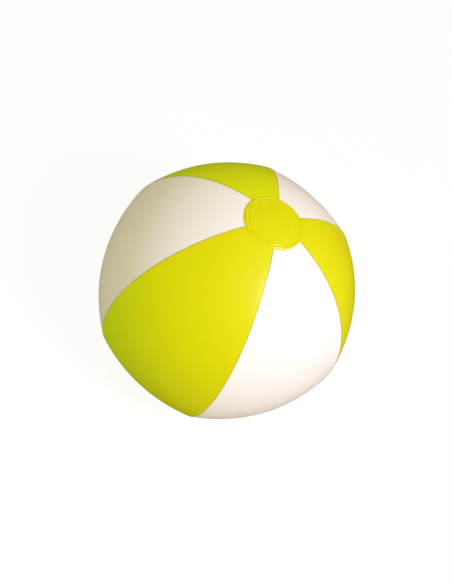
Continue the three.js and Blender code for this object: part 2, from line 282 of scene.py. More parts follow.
class Studio(bpy.types.PropertyGroup):
    """Camera, lights and floor"""

    camera_azimuth: angle("Camera azimuth", "0 looks along +Y", 7.38)
    camera_elevation: angle("Camera elevation", "Above the horizon", 50.33)
    camera_roll: angle("Camera roll", "How far the polar axis leans to the right in the picture", 35.97)
    camera_distance: length("Camera distance", "From the ball's centre", 1.1095)
    camera_left: length("Camera left", "How far the camera is moved to the left", 0.00082)
    camera_down: length("Camera down", "How far the camera is moved down", 0.00147)
    view_height: length("View height", "Height of the picture at the ball's centre", 0.6003)
    floor_size: length("Floor", "Width of the floor, up to its curved rim", 6)
    cove_height: length("Cove height", "How far the floor curves up all round", 5)
    floor_colour: colour("Floor colour", "Pale floor", (0.12, 0.124, 0.132))
    floor_glow: share("Floor glow", "Light that the floor gives, as a lit table does", 0.89)
    sky: colour("Sky", "Even light from all round", (0.635, 0.588, 0.385))
    light_distance: length("Light distance", "From the ball's centre to each light", 1.6)
    key_azimuth: angle("Key azimuth", "Direction of the key light, measured as the camera's", 64)
    key_elevation: angle("Key elevation", "Above the horizon", 51)
    key_size: length("Key size", "Width of the key light", 0.42)
    key_colour: colour("Key colour", "Colour of the key light", (0.833, 0.765, 1.0))
    key_power: power("Key power", "Power of the key light", 17.9)
    shine_azimuth: angle("Shine azimuth", "Direction of the light that the film mirrors", 86)
    shine_elevation: angle("Shine elevation", "Above the horizon", 53)
    shine_size: length("Shine size", "Width of that light", 0.42)
    shine_power: power("Shine power", "Power of that light", 118)
    lime_azimuth: angle("Lime azimuth", "Direction of the light that tints the yellow film's shade", -53)
    lime_elevation: angle("Lime elevation", "Above the horizon", -22)
    lime_size: length("Lime size", "Width of that light and of the back one", 1)
    lime_colour: colour("Lime colour", "Colour of that light and of the back one", (0.0, 1.0, 0.0))
    lime_power: power("Lime power", "Power of that light", 5.2)
    back_lime_azimuth: angle("Back lime azimuth", "Direction of the light that tints the back panel", 235)
    back_lime_elevation: angle("Back lime elevation", "Above the horizon", 50)
    back_lime_power: power("Back lime power", "Power of that light", 3)
    fill_size: length("Fill size", "Width of the fill light behind the ball", 2.7)
    fill_power: power("Fill power", "Power of the fill light", 26)


class BeachBall(bpy.types.PropertyGroup):
    """All settings of the beach ball"""

    ball: PointerProperty(name="Ball", description="Sizes of the ball", type=BallSizes)
    film: PointerProperty(name="Film", description="Sizes of the film", type=FilmSizes)
    patch: PointerProperty(name="Patches", description="Sizes of the end patches", type=PatchSizes)
    valve: PointerProperty(name="Valve", description="Sizes of the valve", type=ValveSizes)
    finish: PointerProperty(name="Finishes", description="Colours and surfaces", type=Finishes)
    studio: PointerProperty(name="Studio", description="Camera, lights and floor", type=Studio)


# Shape of the ball


def layer_lift(film, layer):
    """How far the outer face of a layer of film lies above the white film's."""
    return layer * (film.thickness + film.layer_gap)


class Skin:
    """Outer face of the white film: a superellipse from pole to pole, drawn out along the seams."""

    def __init__(self, settings):
        self.radius = settings.ball.diameter / 2
        self.half_height = settings.ball.height / 2
        self.fullness = settings.ball.fullness
        self.seam_rise = settings.ball.seam_rise
        self.ripple = settings.ball.ripple
        self.ripple_spacing = settings.ball.ripple_spacing
        self.patch_lift = layer_lift(settings.film, PATCH_LAYER)
        self.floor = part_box("end_patch_bottom")[0].z

    def widest(self, azimuth):
        """Distance from the polar axis at the equator."""
        turns = (azimuth - FIRST_PANEL_AZIMUTH) / PANEL_ANGLE
        off_middle = (turns - round(turns)) * PANEL_ANGLE
        rise = (1 / math.cos(off_middle) - 1) / (1 / math.cos(PANEL_ANGLE / 2) - 1)
        return self.radius + self.seam_rise * rise

    def height(self, distance):
        """Height above the equator at a distance from the polar axis."""
        part = (distance / self.radius) ** self.fullness
        return self.half_height * (1 - part) ** (1 / self.fullness)

    def point(self, direction, lift):
        """Point in a direction from the centre, raised along the skin's normal."""
        azimuth = math.atan2(direction.y, direction.x)
        widest = self.widest(azimuth)
        across = math.hypot(direction.x, direction.y) / widest
        up = direction.z / self.half_height
        scale = (across**self.fullness + abs(up) ** self.fullness) ** (-1 / self.fullness)
        outward = (across * scale) ** (self.fullness - 1) / widest
        upward = math.copysign(abs(up * scale) ** (self.fullness - 1) / self.half_height, up)
        normal = Vector((outward * math.cos(azimuth), outward * math.sin(azimuth), upward)).normalized()
        wave = self.ripple * noise.noise(direction.normalized() * self.radius / self.ripple_spacing)
        point = direction * scale + normal * (lift + wave)
        point.z = max(point.z, self.floor + self.patch_lift - lift)
        return point


def direction_at(polar, azimuth):
    """Direction from the ball's centre."""
    across = math.sin(polar)
    return Vector((across * math.cos(azimuth), across * math.sin(azimuth), math.cos(polar)))


def step_up(low, high, value):
    """Smooth rise from 0 at low to 1 at high."""
    part = min(1, max(0, (value - low) / (high - low)))
    return part * part * (3 - 2 * part)


def ridge(middle, width, value):
    """Smooth bump of height 1 and a given width."""
    off = min(1, abs(value - middle) / (width / 2))
    return (1 - off * off) ** 2


def border_line(number):
    """Distance from a film's edge of one of the crowded lines of points along it."""
    return BORDER_WIDTH * (number / BORDER_COLUMNS) ** BORDER_CROWDING


# Modelling steps


def deselect_all():
    """Nothing is selected, so the next operator acts on its own piece alone."""
    bpy.ops.object.select_all(action="DESELECT")


def make_active(piece):
    """One piece is selected and active."""
    deselect_all()
    piece.select_set(True)
    bpy.context.view_layer.objects.active = piece


def film_name(node):
    """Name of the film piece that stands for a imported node."""
    return node + "_film"


def new_piece(name):
    """Names the primitive that was just added."""
    piece = bpy.context.active_object
    piece.name = name
    piece.data.name = name
    return piece


def edit():
    """Edit mode on the active piece, with all of it selected."""
    bpy.ops.object.mode_set(mode="EDIT")
    bpy.ops.mesh.select_all(action="SELECT")


def edit_chosen(piece, kind, elements, test):
    """Edit mode on a piece, with only those of its faces or edges selected that pass a test."""
    make_active(piece)
    bpy.ops.object.mode_set(mode="EDIT")
    bpy.ops.mesh.select_mode(type=kind)
    bpy.ops.mesh.select_all(action="DESELECT")
    leave_edit()
    for element in elements:
        element.select = test(element)
    bpy.ops.object.mode_set(mode="EDIT")


def leave_edit():
    """Back to object mode."""
    bpy.ops.object.mode_set(mode="OBJECT")


def apply_modifier(piece, kind, **settings):
    """Adds a modifier to a piece and applies it."""
    make_active(piece)
    bpy.ops.object.modifier_add(type=kind)
    modifier = piece.modifiers[-1]
    for name, value in settings.items():
        setattr(modifier, name, value)
    bpy.ops.object.modifier_apply(modifier=modifier.name)


def thicken(piece, thickness, offset=-1):
    """Gives a sheet its thickness, inwards unless told otherwise."""
    apply_modifier(piece, "SOLIDIFY", thickness=thickness, offset=offset, use_even_offset=True)


def round_edges(piece, width):
    """Rounds the sharp edges of a moulding."""
    apply_modifier(
        piece, "BEVEL", width=width, segments=ROUNDING_STEPS, limit_method="ANGLE", angle_limit=SMOOTH_ANGLE
    )


def smooth(piece):
    """Shades a piece smooth, apart from its sharp edges."""
    make_active(piece)
    bpy.ops.object.shade_smooth_by_angle(angle=SMOOTH_ANGLE)


def cut_away(piece, cutter):
    """Cuts a tool's shape out of a piece, removes the tool and clears slivers and many-sided faces."""
    apply_modifier(piece, "BOOLEAN", object=cutter, operation="DIFFERENCE", solver="EXACT")
    bpy.data.objects.remove(cutter)
    edit()
    bpy.ops.mesh.dissolve_degenerate(threshold=SLIVER_WIDTH)
    bpy.ops.mesh.select_mode(type="FACE")
    bpy.ops.mesh.select_all(action="DESELECT")
    bpy.ops.mesh.select_face_by_sides(number=QUAD_SIDES, type="GREATER")
    bpy.ops.mesh.quads_convert_to_tris(ngon_method="BEAUTY")
    leave_edit()


def turned_copy(piece, name, turn):
    """Copy of a piece with a mesh of its own, turned about the polar axis."""
    make_active(piece)
    bpy.ops.object.duplicate()
    copy = new_piece(name)
    copy.data.transform(Matrix.Rotation(turn, 4, "Z"))
    return copy


def turn_on_lathe(name, outline):
    """Piece of revolution about Z, from the closed outline of its half section as (radius, height) points."""
    deselect_all()
    bpy.ops.mesh.primitive_circle_add(vertices=len(outline), fill_type="NOTHING")
    piece = new_piece(name)
    for vertex, (distance, level) in zip(piece.data.vertices, outline):
        vertex.co = (distance, 0, level)
    edit()
    bpy.ops.mesh.spin(steps=VALVE_SIDES, angle=math.tau, center=(0, 0, 0), axis=(0, 0, 1))
    bpy.ops.mesh.select_all(action="SELECT")
    bpy.ops.mesh.remove_doubles(threshold=MERGE_DISTANCE)
    bpy.ops.mesh.delete_loose()
    bpy.ops.mesh.select_all(action="SELECT")
    bpy.ops.mesh.normals_make_consistent(inside=False)
    leave_edit()
    return piece


def dress(piece, look, node):
    """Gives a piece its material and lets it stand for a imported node."""
    piece.data.materials.clear()
    piece.data.materials.append(look)
    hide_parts(node)


# Materials


class Signal:
    """A shader socket on which sums are written as Python expressions."""

    def __init__(self, look, socket):
        self.look = look
        self.socket = socket

    def sum(self, operation, first, second):
        """Math node on two values."""
        return self.look.node("ShaderNodeMath", {"operation": operation}, {0: first, 1: second})

    def __add__(self, other):
        return self.sum("ADD", self, other)

    def __radd__(self, other):
        return self.sum("ADD", other, self)

    def __sub__(self, other):
        return self.sum("SUBTRACT", self, other)

    def __rsub__(self, other):
        return self.sum("SUBTRACT", other, self)

    def __mul__(self, other):
        return self.sum("MULTIPLY", self, other)

    def __rmul__(self, other):
        return self.sum("MULTIPLY", other, self)


class Look:
    """A material and the nodes that make it."""

    def __init__(self, name):
        self.material = bpy.data.materials.new(name)
        self.material.use_nodes = True
        self.tree = self.material.node_tree
        self.tree.nodes.clear()

    def node(self, kind, settings=None, inputs=None, output=0):
        """Adds a node, with its settings first and then the values or links of its sockets."""
        node = self.tree.nodes.new(kind)
        for name, value in (settings or {}).items():
            setattr(node, name, value)
        for name, value in (inputs or {}).items():
            if isinstance(value, Signal):
                self.tree.links.new(value.socket, node.inputs[name])
            else:
                node.inputs[name].default_value = value
        return Signal(self, node.outputs[output])

    def place(self):
        """Where a point lies on the ball."""
        return self.node("ShaderNodeTexCoord", output="Object")

    def mottle(self, spacing, detail):
        """Cloudy pattern from 0 to 1 with a given distance between its clouds."""
        inputs = {"Vector": self.place(), "Scale": 1 / spacing, "Detail": detail}
        return self.node("ShaderNodeTexNoise", {"noise_dimensions": "3D"}, inputs)

    def mark(self, name):
        """Value that was stored on a piece's points."""
        settings = {"attribute_type": "GEOMETRY", "attribute_name": name}
        return self.node("ShaderNodeAttribute", settings, output="Fac")

    def mix_colours(self, factor, first, second):
        """Colour between two others."""
        inputs = {MIX_FACTOR: factor, MIX_FIRST: first, MIX_SECOND: second}
        return self.node("ShaderNodeMix", {"data_type": "RGBA"}, inputs, output=MIX_RESULT)

    def bumps(self, height):
        """Normals of a surface raised by a height in metres."""
        return self.node("ShaderNodeBump", None, {"Strength": 1, "Distance": 1, "Height": height})

    def surface(self, shader):
        """Makes a shader the material's surface."""
        end = self.tree.nodes.new("ShaderNodeOutputMaterial")
        self.tree.links.new(shader.socket, end.inputs["Surface"])
        return self.material


def shaded(value, factor):
    """Colour with an alpha, brightened or darkened by a factor."""
    return tuple(min(1, part * factor) for part in value) + (1,)


class Vinyl(NamedTuple):
    """Patterns of a vinyl surface, each with its spacing and detail, and how far they change the surface."""

    clouds: tuple
    tones: tuple
    smudges: tuple
    smudge_roughness: float
    grain: tuple
    grain_height: float

    def patterns(self, look, tint, roughness):
        """Cloudy colour, smudged roughness and grainy normals."""
        dark, light = (shaded(tint, tone) for tone in self.tones)
        colours = look.mix_colours(look.mottle(*self.clouds), dark, light)
        least = roughness - self.smudge_roughness / 2
        smudged = least + self.smudge_roughness * look.mottle(*self.smudges)
        return colours, smudged, look.bumps(look.mottle(*self.grain) * self.grain_height)


FILM = Vinyl(
    clouds=(0.035, 3),
    tones=(0.965, 1.02),
    smudges=(0.022, 5),
    smudge_roughness=0.1,
    grain=(0.0006, 2),
    grain_height=0.000006,
)
MOULDING = Vinyl(
    clouds=(0.004, 3),
    tones=(0.96, 1.03),
    smudges=(0.003, 4),
    smudge_roughness=0.08,
    grain=(0.0004, 2),
    grain_height=0.000005,
)


def film_look(name, tint, finish, edge=None):
    """Satin vinyl film with a faint mottle, a fine grain and painted shade along its cut edge."""
    look = Look(name)
    tone, roughness, normals = FILM.patterns(look, tint, finish.film_roughness)
    if edge:
        # Painted shade: the edge colour is mixed in near the cut edge, and the same mask makes the edge
        # rougher
        cut = look.mark(CUT_EDGE_PAINTED_SHADE)
        tone = look.mix_colours(cut, tone, shaded(edge, 1))
        roughness = roughness + finish.edge_dullness * cut - finish.weld_polish * look.mark(PRESSED_WELD)
    glossy = look.node(
        "ShaderNodeBsdfPrincipled",
        None,
        {
            "Base Color": tone,
            "Roughness": roughness,
            "IOR": VINYL_IOR,
            "Specular IOR Level": finish.film_shine,
            "Normal": normals,
        },
    )
    return look.surface(glossy)


def moulded_look(name, tint, roughness, see_through):
    """Soft moulded vinyl, milky and a little see-through."""
    look = Look(name)
    tone, smudged, normals = MOULDING.patterns(look, tint, roughness)
    glossy = look.node(
        "ShaderNodeBsdfPrincipled",
        None,
        {"Base Color": tone, "Roughness": smudged, "IOR": VINYL_IOR, "Normal": normals},
    )
    passing = look.node("ShaderNodeBsdfTranslucent", None, {"Color": shaded(tint, 1)})
    mixed = look.node("ShaderNodeMixShader", None, {0: see_through, 1: glossy, 2: passing})
    return look.surface(mixed)


def yellow_material(finish):
    """Yellow film, made once."""
    made = bpy.data.materials.get(YELLOW_FILM)
    # finish.edge is the painted shade along the cut edge
    return made or film_look(YELLOW_FILM, finish.yellow, finish, finish.edge)


def valve_material(finish):
    """Soft vinyl of the valve, made once."""
    made = bpy.data.materials.get("valve_vinyl_soft")
    return made or moulded_look(
        "valve_vinyl_soft", finish.valve, finish.valve_roughness, finish.valve_see_through
    )


def flap_material(finish):
    """Clear film of the check flap."""
    return moulded_look("flap_film_clear", finish.flap, finish.flap_roughness, finish.flap_see_through)


def lit_table_look(name, tint, glow):
    """Even, dull finish of a floor that gives some light of its own."""
    look = Look(name)
    dull = look.node(
        "ShaderNodeBsdfPrincipled",
        None,
        {
            "Base Color": shaded(tint, 1),
            "Roughness": 1,
            "Specular IOR Level": 0,
            "Emission Color": (1, 1, 1, 1),
            "Emission Strength": glow,
        },
    )
    return look.surface(dull)


# Film panels


def panel_columns(row_radius, edge):
    """Offsets from a panel's middle, and distances from its nearer edge, of the lines of points in a row."""
    border = [border_line(number) for number in range(BORDER_COLUMNS)]
    middle = edge * row_radius - BORDER_WIDTH
    half = [(distance / row_radius - edge, distance) for distance in border]
    inner = []
    for number in range(MIDDLE_COLUMNS + 1):
        along = middle * (2 * number / MIDDLE_COLUMNS - 1)
        inner.append((along / row_radius, edge * row_radius - abs(along)))
    return half + inner + [(-offset, distance) for offset, distance in reversed(half)]


def bare_relief(_film, _distance):
    """A white panel's edges lie flat under their neighbours."""
    return 0


def welded_relief(film, distance):
    """Rise of a yellow panel near its edge: a pressed weld, the bead along it and the rounded cut."""
    rise = film.weld_depth * step_up(film.weld_width, film.weld_width + film.bead_width, distance)
    rise += film.bead_rise * ridge(film.weld_width, film.bead_width, distance)
    return rise - film.edge_drop * (1 - step_up(0, film.edge_width, distance))


def painted_edge_shade(film, distance):
    """How much painted shade the film gets near its cut edge, from 1 at the edge to 0 inside."""
    return 1 - step_up(film.edge_width / 2, film.edge_width, distance)


def model_panel(settings, name, azimuth, lap, layer, relief):
    """Panel of film: a flat grid that is blown up onto the ball, then given its thickness."""
    skin = Skin(settings)
    film = settings.film
    tip = settings.patch.diameter / 2 - settings.patch.lap
    tip_polar = math.atan2(tip, skin.height(tip))
    columns = 2 * BORDER_COLUMNS + MIDDLE_COLUMNS
    deselect_all()
    bpy.ops.mesh.primitive_grid_add(x_subdivisions=columns, y_subdivisions=PANEL_ROWS, size=2 * HALF_GRID)
    panel = new_piece(name)
    cut_edge_painted_shade = panel.data.attributes.new(CUT_EDGE_PAINTED_SHADE, "FLOAT", "POINT")
    lift = layer_lift(film, layer)
    rows = {}
    for vertex in panel.data.vertices:
        row = round((HALF_GRID - vertex.co.y) * PANEL_ROWS)
        column = round((HALF_GRID + vertex.co.x) * columns)
        polar = tip_polar + (math.pi - 2 * tip_polar) * row / PANEL_ROWS
        if row not in rows:
            seam = skin.point(direction_at(polar, azimuth + PANEL_ANGLE / 2), 0)
            row_radius = math.hypot(seam.x, seam.y)
            rows[row] = panel_columns(row_radius, PANEL_ANGLE / 2 + lap / row_radius)
        offset, distance = rows[row][column]
        vertex.co = skin.point(direction_at(polar, azimuth + offset), lift + relief(film, distance))
        # Painted shade along the cut edge
        cut_edge_painted_shade.data[vertex.index].value = painted_edge_shade(film, distance)
    flat_area = sum(polygon.area for polygon in panel.data.polygons)
    thicken(panel, film.thickness)
    smooth(panel)
    return panel, flat_area


def panel_flat_size(settings, lap):
    """Width and length of a panel's cut, laid flat."""
    skin = Skin(settings)
    around = PANEL_ANGLE * skin.radius + 2 * lap
    rise = math.pi * (skin.radius + skin.half_height) / 2
    return around, rise - 2 * (settings.patch.diameter / 2 - settings.patch.lap)


def place_panels(settings, first, names, look, lap):
    """Copies the first panel round the ball and lets each copy stand for its node."""
    pieces = [first]
    for name in names[1:]:
        turn = PANEL_ANGLE * (PANEL_NAMES.index(name) - PANEL_NAMES.index(names[0]))
        pieces.append(turned_copy(first, film_name(name), turn))
    for name, piece in zip(names, pieces):
        if name == VALVE_PANEL:
            fit_valve_hole(settings, piece)
        dress(piece, look, name)
        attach(piece, "ball")
        panel_flat_size(settings, lap)


# Valve


class ValveLevels:
    """Levels along the valve's axis from the panel's outer face, and its place on the ball."""

    def __init__(self, valve):
        self.stem_top = -valve.stem_sink
        self.stem_bottom = self.stem_top - valve.stem_length
        self.rim_bottom = self.stem_top - valve.rim_height
        self.foot_top = self.stem_bottom + valve.foot_height
        self.head_bottom = self.stem_top + valve.gap
        self.head_top = self.head_bottom + valve.head_height
        self.flap_top = self.stem_bottom - valve.gap
        self.sleeve_bottom = self.foot_top + valve.gap
        self.flange_bore = valve.mouth_diameter / 2 + valve.gap
        ball_radius = -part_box("yellow_panel_front")[0].y
        sag = (valve.mouth_diameter / 2) ** 2 / ball_radius / 2
        self.sleeve_top = -valve.flange_depth - sag
        self.shoulder = self.sleeve_top - valve.flange_thickness
        axis = Vector(JOINTS["valve_push"]["axis"]).normalized()
        across = -Vector(JOINTS["flap_swing"]["axis"]).normalized()
        upward = axis.cross(across)
        hinge = Vector(JOINTS["flap_swing"]["pos_m"])
        place = hinge + upward * valve.foot_diameter / 2 - axis * self.flap_top
        self.matrix = Matrix.Translation(place) @ Matrix((across, upward, axis)).transposed().to_4x4()

    def at(self, level):
        """Point on the valve's axis."""
        return self.matrix @ Vector((0, 0, level))


def fit_valve_hole(settings, panel):
    """Raises the welded ring round the valve in a panel and cuts the hole through it."""
    valve = settings.valve
    levels = ValveLevels(valve)
    outside = levels.matrix.inverted()
    reach = valve.weld_ring / 2 + valve.weld_ring_width

    def near_valve(polygon):
        local = outside @ polygon.center
        return local.xy.length < reach and abs(local.z) < reach

    edit_chosen(panel, "FACE", panel.data.polygons, near_valve)
    bpy.ops.mesh.subdivide(number_cuts=VALVE_CUTS)
    leave_edit()
    axis = levels.matrix.to_3x3() @ Vector((0, 0, 1))
    for vertex in panel.data.vertices:
        local = outside @ vertex.co
        if abs(local.z) < reach:
            rise = ridge(valve.weld_ring / 2, valve.weld_ring_width, local.xy.length)
            vertex.co += axis * valve.weld_ring_rise * rise
    deselect_all()
    bpy.ops.mesh.primitive_cylinder_add(
        vertices=VALVE_SIDES, radius=levels.flange_bore + valve.hole_margin, depth=valve.stem_length
    )
    cutter = new_piece("valve_hole_cutter")
    cutter.data.transform(levels.matrix)
    cut_away(panel, cutter)
    smooth(panel)


def finish_moulding(settings, piece, levels, node, look=None):
    """Rounds a moulding's edges, sets it in its place and dresses it, in the valve's vinyl unless told."""
    round_edges(piece, settings.valve.rounding)
    smooth(piece)
    piece.data.transform(levels.matrix)
    dress(piece, look or valve_material(settings.finish), node)


def model_flange(settings):
    """Ring welded under the panel, following its curve."""
    valve = settings.valve
    levels = ValveLevels(valve)
    skin = Skin(settings)
    deselect_all()
    bpy.ops.mesh.primitive_circle_add(vertices=VALVE_SIDES, radius=levels.flange_bore)
    flange = new_piece("valve_flange_ring")
    edit()
    growth = (valve.flange_diameter / 2 / levels.flange_bore) ** (1 / FLANGE_RINGS)
    for _ring in range(FLANGE_RINGS):
        bpy.ops.mesh.extrude_edges_move()
        bpy.ops.transform.resize(value=(growth, growth, 1), center_override=(0, 0, 0))
    bpy.ops.mesh.select_all(action="SELECT")
    bpy.ops.mesh.normals_make_consistent(inside=False)
    leave_edit()
    lift = layer_lift(settings.film, YELLOW_LAYER) - valve.flange_depth
    inward = levels.matrix.inverted()
    for vertex in flange.data.vertices:
        direction = levels.matrix @ (vertex.co - Vector((0, 0, valve.flange_depth)))
        vertex.co = inward @ skin.point(direction, lift)
    if flange.data.polygons[0].normal.z < 0:
        flange.data.flip_normals()
    thicken(flange, valve.flange_thickness)
    finish_moulding(settings, flange, levels, "valve_flange")
    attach(flange, "ball")


def model_sleeve(settings):
    """Soft cone from the flange down to the stem's foot."""
    valve = settings.valve
    levels = ValveLevels(valve)
    mouth = valve.mouth_diameter / 2
    foot = valve.foot_diameter / 2
    wall = valve.sleeve_wall
    outside = []
    for number in range(SLEEVE_STEPS + 1):
        part = number / SLEEVE_STEPS
        level = levels.sleeve_bottom + (levels.shoulder - levels.sleeve_bottom) * part
        outside.append((foot + (mouth - foot) * part, level))
    outside.append((mouth, levels.sleeve_top))
    inside = [(distance - wall, level) for distance, level in reversed(outside)]
    sleeve = turn_on_lathe("valve_sleeve_cone", outside + inside)
    finish_moulding(settings, sleeve, levels, "valve_sleeve")
    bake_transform(sleeve)


def model_stem(settings):
    """Tube with a rim at its mouth and a foot at its inner end."""
    valve = settings.valve
    levels = ValveLevels(valve)
    bore = valve.stem_bore / 2
    wall = valve.stem_diameter / 2
    rim = valve.rim_diameter / 2
    foot = valve.foot_diameter / 2
    stem = turn_on_lathe(
        "valve_stem_tube",
        [
            (bore, levels.stem_bottom),
            (foot, levels.stem_bottom),
            (foot, levels.foot_top),
            (wall, levels.foot_top),
            (wall, levels.rim_bottom),
            (rim, levels.rim_bottom),
            (rim, levels.stem_top),
            (bore, levels.stem_top),
        ],
    )
    finish_moulding(settings, stem, levels, "valve_stem")
    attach(stem, "stem")


def model_plug(settings):
    """Plug with a dished head, a tapered pin and an ear to pull it by."""
    valve = settings.valve
    levels = ValveLevels(valve)
    rim = valve.rim_diameter / 2
    pin_top = valve.stem_bore / 2 - valve.gap
    pin_end = pin_top - valve.pin_taper / 2
    pin_bottom = levels.head_bottom - valve.pin_length
    lip = rim - 2 * valve.head_dish
    plug = turn_on_lathe(
        "valve_plug_stopper",
        [
            (0, pin_bottom),
            (pin_end, pin_bottom),
            (pin_top, levels.head_bottom),
            (rim, levels.head_bottom),
            (rim, levels.head_top),
            (lip, levels.head_top),
            (lip - valve.head_dish, levels.head_top - valve.head_dish),
            (0, levels.head_top - valve.head_dish),
        ],
    )
    ear = model_ear(valve, levels)
    apply_modifier(plug, "BOOLEAN", object=ear, operation="UNION", solver="EXACT")
    bpy.data.objects.remove(ear)
    finish_moulding(settings, plug, levels, "valve_plug")
    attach(plug, "plug")


def model_ear(valve, levels):
    """Flat ear with a round end at the side of the plug's head."""
    half = valve.ear_width / 2
    reach = valve.rim_diameter / 2 + valve.ear_length - half
    middle = (levels.head_bottom + levels.head_top) / 2
    deselect_all()
    bpy.ops.mesh.primitive_cylinder_add(
        vertices=VALVE_SIDES, radius=half, depth=valve.ear_thickness, location=(0, 0, middle)
    )
    ear = new_piece("valve_plug_ear")
    bpy.ops.object.transform_apply(location=True)
    for vertex in ear.data.vertices:
        vertex.co.x += reach if vertex.co.x > -MERGE_DISTANCE else reach / 2
    return ear


def along_fold(points, part):
    """Point on a smooth curve through a list of points, from the first at 0 to the last at 1."""
    position = part * (len(points) - 1)
    number = min(int(position), len(points) - 2)
    at = position - number
    first, second = points[number], points[number + 1]
    before = points[number - 1] if number else first * 2 - second
    after = points[number + 2] if number + 2 < len(points) else second * 2 - first
    bend = (after - second * 3 + first * 3 - before) * at**3
    lean = (before * 2 - first * 5 + second * 4 - after) * at**2
    return first + (bend + lean + (second - before) * at) / 2


def model_strap(settings):
    """Strap folded into a loop from the stem's rim to the plug's head."""
    valve = settings.valve
    levels = ValveLevels(valve)
    rim = valve.rim_diameter / 2
    near = rim - valve.gap
    far = rim + valve.strap_reach
    half_way = (near + far) / 2
    head_middle = (levels.head_bottom + levels.head_top) / 2
    rim_middle = (levels.rim_bottom + levels.stem_top) / 2
    fold = [
        Vector((-near, rim_middle)),
        Vector((-half_way, head_middle - valve.strap_thickness)),
        Vector((-far, levels.head_top + valve.strap_rise / 2)),
        Vector((-half_way, levels.head_top + valve.strap_rise)),
        Vector((-near, head_middle)),
    ]
    deselect_all()
    bpy.ops.mesh.primitive_grid_add(
        x_subdivisions=STRAP_STEPS, y_subdivisions=STRAP_COLUMNS, size=2 * HALF_GRID
    )
    strap = new_piece("valve_strap_loop")
    for vertex in strap.data.vertices:
        point = along_fold(fold, vertex.co.x + HALF_GRID)
        vertex.co = (point.x, vertex.co.y * valve.strap_width, point.y)
    thicken(strap, valve.strap_thickness, offset=0)
    finish_moulding(settings, strap, levels, "valve_strap")
    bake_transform(strap)


def model_flap(settings):
    """Round check flap under the stem's bore, on a hinge strip that is held at the stem's foot."""
    valve = settings.valve
    levels = ValveLevels(valve)
    radius = valve.flap_diameter / 2
    welded = valve.foot_diameter / 2 - valve.gap
    growth = (welded / radius) ** (1 / FLAP_STRIP_ROWS)
    deselect_all()
    bpy.ops.mesh.primitive_circle_add(vertices=VALVE_SIDES, radius=radius, fill_type="NGON")
    flap = new_piece("valve_flap_film")
    corners = flap.data.vertices

    def at_hinge(line):
        ends = [corners[index].co * welded / radius for index in line.vertices]
        return all(end.y < 0 and abs(end.x) < valve.flap_hinge / 2 for end in ends)

    edit_chosen(flap, "EDGE", flap.data.edges, at_hinge)
    for _row in range(FLAP_STRIP_ROWS):
        bpy.ops.mesh.extrude_edges_move()
        bpy.ops.transform.resize(value=(growth, growth, 1), center_override=(0, 0, 0))
    bpy.ops.mesh.select_all(action="SELECT")
    bpy.ops.mesh.normals_make_consistent(inside=False)
    leave_edit()
    flap.data.transform(Matrix.Translation((0, 0, levels.flap_top)))
    thicken(flap, valve.flap_thickness)
    finish_moulding(settings, flap, levels, "valve_flap", flap_material(settings.finish))
    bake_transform(flap)


# End patches


def patch_lines(patch):
    """Distances from a patch's rim of its rings of points, crowded along the rim and the beads."""
    lines = [border_line(number) for number in range(BORDER_COLUMNS + 1)]
    for bead in (patch.weld_inset, patch.weld_inset + patch.weld_width):
        low = bead - patch.bead_width / 2
        lines = [line for line in lines if not low <= line <= low + patch.bead_width]
        lines += [low + patch.bead_width * number / BEAD_LINES for number in range(BEAD_LINES + 1)]
    middle = (patch.diameter / 2 - BORDER_WIDTH) / (PATCH_MIDDLE_RINGS + 1)
    return sorted(lines) + [BORDER_WIDTH + middle * (number + 1) for number in range(PATCH_MIDDLE_RINGS)]


def patch_relief(patch, film, distance):
    """Rise of a patch near its rim: a pressed weld between two beads, and the rounded cut."""
    rise = -patch.rim_drop * (1 - step_up(0, film.edge_width, distance))
    for bead, way in ((patch.weld_inset, -1), (patch.weld_inset + patch.weld_width, 1)):
        wall = step_up(bead - patch.bead_width / 2, bead + patch.bead_width / 2, distance)
        rise += way * patch.weld_depth * wall + patch.bead_rise * ridge(bead, patch.bead_width, distance)
    return rise


def patch_weld(patch, distance):
    """How far a point of a patch lies in its pressed weld, from 0 outside to 1 on the beads and between."""
    middle = patch.weld_inset + patch.weld_width / 2
    reach = patch.weld_width / 2 + patch.bead_width
    return 1 - step_up(reach - patch.bead_width / 2, reach, abs(distance - middle))


def model_end_patch(settings, name, look, shift, upper):
    """Disc over the panels' tips, with a welded ring near its rim."""
    skin = Skin(settings)
    patch = settings.patch
    film = settings.film
    radius = patch.diameter / 2
    deselect_all()
    bpy.ops.mesh.primitive_circle_add(vertices=PATCH_SIDES, radius=radius, fill_type="NGON")
    disc = new_piece(film_name(name))
    lines = patch_lines(patch)
    edit()
    for outer, inner in zip(lines, lines[1:]):
        bpy.ops.mesh.inset(thickness=inner - outer)
    bpy.ops.mesh.poke()
    leave_edit()
    for mark in (CUT_EDGE_PAINTED_SHADE, PRESSED_WELD):
        disc.data.attributes.new(mark, "FLOAT", "POINT")
    cut_edge_painted_shade = disc.data.attributes[CUT_EDGE_PAINTED_SHADE]
    pressed_weld = disc.data.attributes[PRESSED_WELD]
    lift = layer_lift(film, PATCH_LAYER)
    for vertex in disc.data.vertices:
        distance = radius - vertex.co.xy.length
        flat = vertex.co.xy + shift
        direction = Vector((flat.x, flat.y, skin.height(flat.length)))
        if not upper:
            direction = Vector((direction.x, -direction.y, -direction.z))
        vertex.co = skin.point(direction, lift + patch_relief(patch, film, distance))
        # Painted shade along the cut rim, weaker than along a panel's edge
        cut_edge_painted_shade.data[vertex.index].value = patch.rim_painted_shade * painted_edge_shade(film, distance)
        pressed_weld.data[vertex.index].value = patch_weld(patch, distance)
    thicken(disc, film.thickness)
    smooth(disc)
    dress(disc, look, name)
    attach(disc, "ball")


# Stage


def seen_from(azimuth, elevation):
    """Direction from the ball's centre, where azimuth 0 is the front and the horizon is elevation 0."""
    flat = math.cos(elevation)
    return Vector((math.sin(azimuth) * flat, -math.cos(azimuth) * flat, math.sin(elevation)))


